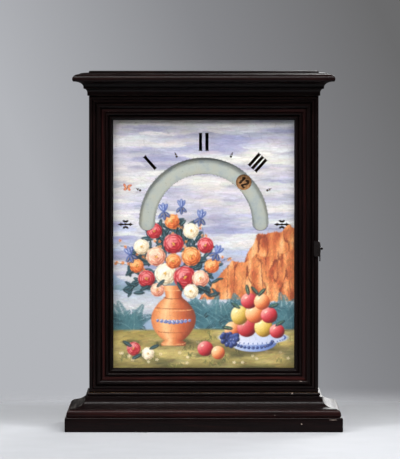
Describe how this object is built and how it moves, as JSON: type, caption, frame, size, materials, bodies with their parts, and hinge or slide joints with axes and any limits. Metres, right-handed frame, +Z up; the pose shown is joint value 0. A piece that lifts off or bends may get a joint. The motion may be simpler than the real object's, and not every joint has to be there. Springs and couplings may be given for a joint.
{
  "type": "night clock",
  "caption": "Night clock in an ebonised wooden case: a lamp-lit hour travels along an arc in a painted metal front, over a spring-driven movement.",
  "frame": {"origin": "centre of the foot of the case, on the surface it stands on", "axes": "+X to the viewer's right, +Y to the back, +Z up"},
  "size_m": [0.347, 0.17, 0.45],
  "materials": {
    "ebonised_wood": "ebonised and waxed hardwood, worn to brown on the edges",
    "pine": "aged pine, planed, unfinished inside",
    "blackened_iron": "blackened sheet iron",
    "tinplate": "tinned sheet iron",
    "brass": "aged brass",
    "steel": "filed and polished steel",
    "painted_panel": "oil paint on sheet metal, varnished",
    "painted_carrier": "pale grey-green mottled paint",
    "gilt_brass": "gilt brass, dulled"
  },
  "bodies": {
    "case": {"plinth_front": "ebonised_wood", "plinth_returns": "ebonised_wood", "base_moulding_front": "ebonised_wood", "base_moulding_returns": "ebonised_wood", "base_frame": "pine", "floor_board": "pine", "side_panel_left": "ebonised_wood", "side_panel_right": "ebonised_wood", "top_board": "pine", "cap_board": "ebonised_wood", "cornice_front": "ebonised_wood", "cornice_returns": "ebonised_wood", "vent_grille": "blackened_iron", "smoke_hood": "tinplate", "seat_board": "pine", "lamp_shelf": "pine", "case_cleats": "pine", "lamp_reservoir": "tinplate", "lamp_burner": "brass", "lamp_reflector": "tinplate", "back_hinge_leaves_case": "brass", "fasteners": "steel", "front_plate": "brass", "back_plate": "brass", "plate_pillars": "brass", "trip_pin": "steel", "back_cock": "brass", "click_spring": "steel"},
    "front_door": {"door_stile_left": "ebonised_wood", "door_stile_right": "ebonised_wood", "door_rail_top": "ebonised_wood", "door_rail_bottom": "ebonised_wood", "painted_panel": "painted_panel", "panel_beads": "pine", "door_pivots": "steel", "latch_plate": "blackened_iron"},
    "latch": {"latch_lever": "blackened_iron"},
    "back_door": {"back_door_board": "pine", "back_door_battens": "pine", "back_hinge_leaves_door": "brass"},
    "turn_button": {"back_door_button": "brass"},
    "carrier": {"carrier_disc": "painted_carrier", "two_hour_arbor": "steel", "two_hour_wheel": "brass", "jumper_springs": "steel"},
    "even_hours": {"hour_disc_even": "gilt_brass", "star_wheel_even": "brass"},
    "odd_hours": {"hour_disc_odd": "gilt_brass", "star_wheel_odd": "brass"},
    "spring_barrel": {"barrel": "brass", "barrel_cover": "brass", "mainspring": "steel"},
    "second_arbor": {"second_wheel": "brass"},
    "third_arbor": {"third_wheel": "brass"},
    "escape_arbor": {"escape_wheel": "brass"},
    "pendulum_and_pallets": {"pallets": "steel", "pendulum": "steel"},
    "winding": {"winding_arbor": "steel", "ratchet_wheel": "steel"},
    "click_lever": {"click": "steel"}
  },
  "joints": [
    {"name": "front_door_hinge", "type": "hinge", "parent": "case", "child": "front_door", "pos_m": [-0.138, -0.0405, 0.233], "axis": [0, 0, -1], "range_deg": [0, 90]},
    {"name": "latch_turn", "type": "hinge", "parent": "front_door", "child": "latch", "pos_m": [0.145, -0.042, 0.2275], "axis": [1, 0, 0], "range_deg": [0, 90]},
    {"name": "back_door_hinge", "type": "hinge", "parent": "case", "child": "back_door", "pos_m": [-0.13135, 0.083, 0.233], "axis": [0, 0, 1], "range_deg": [0, 110]},
    {"name": "back_button_turn", "type": "hinge", "parent": "case", "child": "turn_button", "pos_m": [0.1375, 0.0822, 0.2273], "axis": [0, -1, 0], "range_deg": [0, 90]},
    {"name": "carrier_turn", "type": "hinge", "parent": "case", "child": "carrier", "pos_m": [0, -0.0367, 0.2604], "axis": [0, 1, 0], "continuous": true},
    {"name": "even_hours_turn", "type": "hinge", "parent": "carrier", "child": "even_hours", "pos_m": [0.03606, -0.035, 0.29646], "axis": [0, 1, 0], "continuous": true},
    {"name": "odd_hours_turn", "type": "hinge", "parent": "carrier", "child": "odd_hours", "pos_m": [-0.03606, -0.035, 0.22434], "axis": [0, 1, 0], "continuous": true},
    {"name": "barrel_turn", "type": "hinge", "parent": "case", "child": "spring_barrel", "pos_m": [-0.02401, -0.01, 0.23689], "axis": [0, 1, 0], "continuous": true},
    {"name": "second_turn", "type": "hinge", "parent": "case", "child": "second_arbor", "pos_m": [0.02199, -0.005, 0.25079], "axis": [0, 1, 0], "continuous": true},
    {"name": "third_turn", "type": "hinge", "parent": "case", "child": "third_arbor", "pos_m": [0.012, -0.005, 0.22897], "axis": [0, 1, 0], "continuous": true},
    {"name": "escape_turn", "type": "hinge", "parent": "case", "child": "escape_arbor", "pos_m": [0, 0, 0.20819], "axis": [0, 1, 0], "continuous": true},
    {"name": "pendulum_swing", "type": "hinge", "parent": "case", "child": "pendulum_and_pallets", "pos_m": [0, 0.02, 0.22719], "axis": [0, 1, 0], "range_deg": [-5, 5]},
    {"name": "winding_turn", "type": "hinge", "parent": "case", "child": "winding", "pos_m": [-0.02401, 0, 0.23689], "axis": [0, 1, 0], "range_deg": [0, 1800]},
    {"name": "click_lift", "type": "hinge", "parent": "case", "child": "click_lever", "pos_m": [-0.03501, 0.015, 0.24389], "axis": [0, -1, 0], "range_deg": [0, 8], "stiffness_Nm_per_rad": 0.002, "springref_deg": -11.46}
  ],
  "couplings": [
    {"joint": "barrel_turn", "follows": "carrier_turn", "ratio": -0.14286},
    {"joint": "second_turn", "follows": "carrier_turn", "ratio": -7},
    {"joint": "third_turn", "follows": "carrier_turn", "ratio": 49},
    {"joint": "escape_turn", "follows": "carrier_turn", "ratio": -343}
  ]
}
